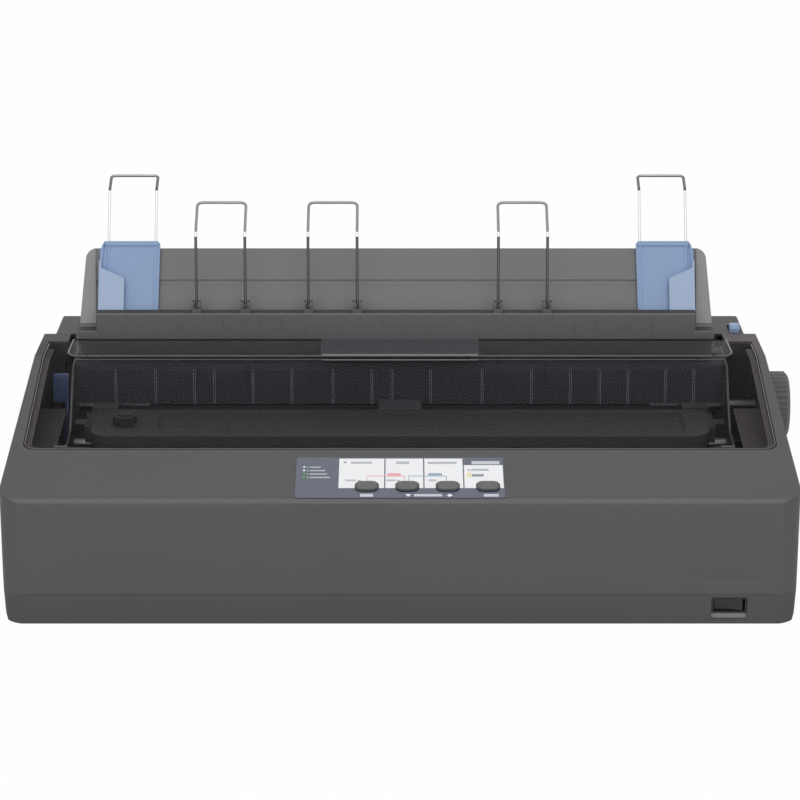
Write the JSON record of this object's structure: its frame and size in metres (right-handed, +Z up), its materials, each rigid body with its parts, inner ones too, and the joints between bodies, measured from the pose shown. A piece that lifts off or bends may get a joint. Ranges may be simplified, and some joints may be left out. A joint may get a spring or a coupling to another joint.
{
  "type": "dot matrix printer",
  "caption": "Wide-carriage dot matrix printer with a smoked hinged cover, raised sheet guide, sliding edge guides, wire paper supports, tractors and a ribbed platen knob.",
  "frame": {"origin": "centre of the overall box at the resting surface", "axes": "+X to the side with the platen knob, +Y to the rear, +Z up"},
  "size_m": [0.646, 0.402, 0.2582],
  "materials": {
    "housing": "fine moulded grain",
    "housing_lower": "fine moulded grain",
    "smoked": "smoked clear plastic",
    "guide_grey": "satin moulded",
    "guide_blue": "satin moulded",
    "wire": "bright wire",
    "label": "printed film",
    "button_plastic": "satin",
    "black_plastic": "moulded",
    "knob": "ridged moulded",
    "gear_plastic": "satin moulded",
    "steel": "pressed sheet",
    "brass": "turned",
    "motor_metal": "satin",
    "rubber": "ground",
    "board": "board with parts"
  },
  "bodies": {
    "housing": {"lower_case": "housing_lower", "rubber_feet": "rubber", "upper_housing": "housing", "rear_cover": "housing_lower", "ribbed_guide": "housing", "panel_label": "label", "panel_board": "board", "switch_bezel": "black_plastic", "feed_motor": "motor_metal", "tractor_rail": "steel", "side_frame_left": "steel", "side_frame_right": "steel", "base_frame": "steel", "carriage_shaft": "steel", "ribbon_cartridge": "black_plastic", "carriage_motor": "motor_metal", "timing_belt": "rubber", "eject_unit": "black_plastic", "main_board": "board", "port_sockets": "steel", "ac_inlet": "black_plastic", "case_screws": "steel"},
    "cover": {"printer_cover": "smoked"},
    "flap": {"exit_flap": "smoked"},
    "sheet": {"sheet_guide": "guide_grey"},
    "guide_left": {"edge_guide_left": "guide_blue"},
    "guide_right": {"edge_guide_right": "guide_blue"},
    "tall_wire_left": {"guide_wire_left": "wire"},
    "tall_wire_right": {"guide_wire_right": "wire"},
    "wire_1": {"paper_wire_1": "wire"},
    "wire_2": {"paper_wire_2": "wire"},
    "wire_3": {"paper_wire_3": "wire"},
    "key_1": {"button_1": "button_plastic"},
    "key_2": {"button_2": "button_plastic"},
    "key_3": {"button_3": "button_plastic"},
    "key_4": {"button_4": "button_plastic"},
    "rocker": {"power_rocker": "black_plastic"},
    "platen": {"platen_knob": "knob", "platen_shaft": "steel", "platen_roller": "rubber", "platen_gear": "gear_plastic"},
    "reduction": {"reduction_gear": "gear_plastic"},
    "idler": {"idler_gear": "gear_plastic"},
    "pinion": {"feed_pinion": "brass"},
    "tractor_drive": {"tractor_gear": "gear_plastic", "tractor_shaft": "steel"},
    "left_tractor": {"tractor_left": "black_plastic"},
    "right_tractor": {"tractor_right": "black_plastic"},
    "left_lid": {"tractor_lid_left": "button_plastic"},
    "right_lid": {"tractor_lid_right": "button_plastic"},
    "left_lock": {"tractor_lock_left": "guide_blue"},
    "right_lock": {"tractor_lock_right": "guide_blue"},
    "carriage_body": {"carriage": "black_plastic", "print_head": "motor_metal"},
    "ribbon_drive": {"ribbon_knob": "button_plastic"},
    "motor_wheel": {"motor_pulley": "brass"},
    "idler_wheel": {"idler_pulley": "gear_plastic"},
    "exit_shaft": {"exit_rollers": "rubber"},
    "release": {"release_lever": "guide_blue"},
    "thickness": {"thickness_lever": "guide_blue"}
  },
  "joints": [
    {"name": "cover_hinge", "type": "hinge", "parent": "housing", "child": "cover", "pos_m": [-0.0105, 0.092, 0.1345], "axis": [-1, 0, 0], "range_deg": [0, 70]},
    {"name": "flap_hinge", "type": "hinge", "parent": "cover", "child": "flap", "pos_m": [-0.0105, 0.0427, 0.14203], "axis": [-1, 0, 0], "range_deg": [-100, 0]},
    {"name": "sheet_guide_tilt", "type": "hinge", "parent": "housing", "child": "sheet", "pos_m": [-0.0105, 0.131, 0.128], "axis": [-1, 0, 0], "range_deg": [0, 55]},
    {"name": "edge_guide_left_slide", "type": "slide", "parent": "sheet", "child": "guide_left", "axis": [1, 0, 0], "range_m": [0, 0.04]},
    {"name": "edge_guide_right_slide", "type": "slide", "parent": "sheet", "child": "guide_right", "axis": [1, 0, 0], "range_m": [-0.16, 0]},
    {"name": "guide_wire_left_slide", "type": "slide", "parent": "guide_left", "child": "tall_wire_left", "axis": [0, 0.5, 0.866], "range_m": [-0.035, 0]},
    {"name": "guide_wire_right_slide", "type": "slide", "parent": "guide_right", "child": "tall_wire_right", "axis": [0, 0.5, 0.866], "range_m": [-0.035, 0]},
    {"name": "paper_wire_1_fold", "type": "hinge", "parent": "housing", "child": "wire_1", "pos_m": [-0.0105, 0.109, 0.167], "axis": [-1, 0, 0], "range_deg": [-75, 12]},
    {"name": "paper_wire_2_fold", "type": "hinge", "parent": "housing", "child": "wire_2", "pos_m": [-0.0105, 0.109, 0.167], "axis": [-1, 0, 0], "range_deg": [-75, 12]},
    {"name": "paper_wire_3_fold", "type": "hinge", "parent": "housing", "child": "wire_3", "pos_m": [-0.0105, 0.109, 0.167], "axis": [-1, 0, 0], "range_deg": [-75, 12]},
    {"name": "button_1_press", "type": "slide", "parent": "housing", "child": "key_1", "axis": [0, 0.1473, -0.9891], "range_m": [0, 0.0012], "stiffness_N_per_m": 400, "springref_m": -0.0005},
    {"name": "button_2_press", "type": "slide", "parent": "housing", "child": "key_2", "axis": [0, 0.1473, -0.9891], "range_m": [0, 0.0012], "stiffness_N_per_m": 400, "springref_m": -0.0005},
    {"name": "button_3_press", "type": "slide", "parent": "housing", "child": "key_3", "axis": [0, 0.1473, -0.9891], "range_m": [0, 0.0012], "stiffness_N_per_m": 400, "springref_m": -0.0005},
    {"name": "button_4_press", "type": "slide", "parent": "housing", "child": "key_4", "axis": [0, 0.1473, -0.9891], "range_m": [0, 0.0012], "stiffness_N_per_m": 400, "springref_m": -0.0005},
    {"name": "rocker_press", "type": "hinge", "parent": "housing", "child": "rocker", "pos_m": [0.2472, -0.194, 0.017], "axis": [0, 0, 1], "range_deg": [0, 14]},
    {"name": "platen_spin", "type": "hinge", "parent": "housing", "child": "platen", "pos_m": [-0.0105, 0.092, 0.082], "axis": [1, 0, 0], "continuous": true},
    {"name": "reduction_spin", "type": "hinge", "parent": "housing", "child": "reduction", "pos_m": [-0.0105, 0.07594, 0.05906], "axis": [1, 0, 0], "continuous": true},
    {"name": "idler_spin", "type": "hinge", "parent": "housing", "child": "idler", "pos_m": [-0.0105, 0.13279, 0.08609], "axis": [1, 0, 0], "continuous": true},
    {"name": "pinion_spin", "type": "hinge", "parent": "housing", "child": "pinion", "pos_m": [-0.0105, 0.06568, 0.03087], "axis": [1, 0, 0], "continuous": true},
    {"name": "tractor_drive_spin", "type": "hinge", "parent": "housing", "child": "tractor_drive", "pos_m": [-0.0105, 0.166, 0.1], "axis": [1, 0, 0], "continuous": true},
    {"name": "tractor_left_slide", "type": "slide", "parent": "housing", "child": "left_tractor", "axis": [1, 0, 0], "range_m": [-0.02, 0.06]},
    {"name": "tractor_right_slide", "type": "slide", "parent": "housing", "child": "right_tractor", "axis": [1, 0, 0], "range_m": [-0.15, 0.02]},
    {"name": "tractor_lid_left_swing", "type": "hinge", "parent": "left_tractor", "child": "left_lid", "pos_m": [-0.2312, 0.156, 0.1156], "axis": [0, 1, 0], "range_deg": [-110, 0]},
    {"name": "tractor_lid_right_swing", "type": "hinge", "parent": "right_tractor", "child": "right_lid", "pos_m": [0.2102, 0.156, 0.1156], "axis": [0, -1, 0], "range_deg": [-110, 0]},
    {"name": "tractor_lock_left_turn", "type": "hinge", "parent": "left_tractor", "child": "left_lock", "pos_m": [-0.2329, 0.146, 0.1], "axis": [1, 0, 0], "range_deg": [-60, 0]},
    {"name": "tractor_lock_right_turn", "type": "hinge", "parent": "right_tractor", "child": "right_lock", "pos_m": [0.2119, 0.146, 0.1], "axis": [1, 0, 0], "range_deg": [-60, 0]},
    {"name": "carriage_slide", "type": "slide", "parent": "housing", "child": "carriage_body", "axis": [1, 0, 0], "range_m": [-0.185, 0.185]},
    {"name": "ribbon_knob_spin", "type": "hinge", "parent": "housing", "child": "ribbon_drive", "pos_m": [-0.2385, -0.012, 0.105], "axis": [0, 0, 1], "continuous": true},
    {"name": "motor_pulley_spin", "type": "hinge", "parent": "housing", "child": "motor_wheel", "pos_m": [-0.2605, 0.01, 0.052], "axis": [0, 0, 1], "continuous": true},
    {"name": "idler_pulley_spin", "type": "hinge", "parent": "housing", "child": "idler_wheel", "pos_m": [0.2395, 0.01, 0.052], "axis": [0, 0, 1], "continuous": true},
    {"name": "exit_roller_spin", "type": "hinge", "parent": "housing", "child": "exit_shaft", "pos_m": [-0.0105, 0.08, 0.112], "axis": [1, 0, 0], "continuous": true},
    {"name": "release_lever_turn", "type": "hinge", "parent": "housing", "child": "release", "pos_m": [-0.0105, 0.138, 0.08], "axis": [-1, 0, 0], "range_deg": [0, 14]},
    {"name": "thickness_lever_turn", "type": "hinge", "parent": "housing", "child": "thickness", "pos_m": [-0.0105, 0.038, 0.066], "axis": [-1, 0, 0], "range_deg": [-12, 12]}
  ],
  "couplings": [
    {"joint": "reduction_spin", "follows": "platen_spin", "ratio": -2.5},
    {"joint": "pinion_spin", "follows": "platen_spin", "ratio": 10},
    {"joint": "idler_spin", "follows": "platen_spin", "ratio": -0.95238},
    {"joint": "tractor_drive_spin", "follows": "platen_spin", "ratio": 1.3333},
    {"joint": "motor_pulley_spin", "follows": "carriage_slide", "rad_per_m": -140.85},
    {"joint": "idler_pulley_spin", "follows": "carriage_slide", "rad_per_m": -140.85}
  ]
}
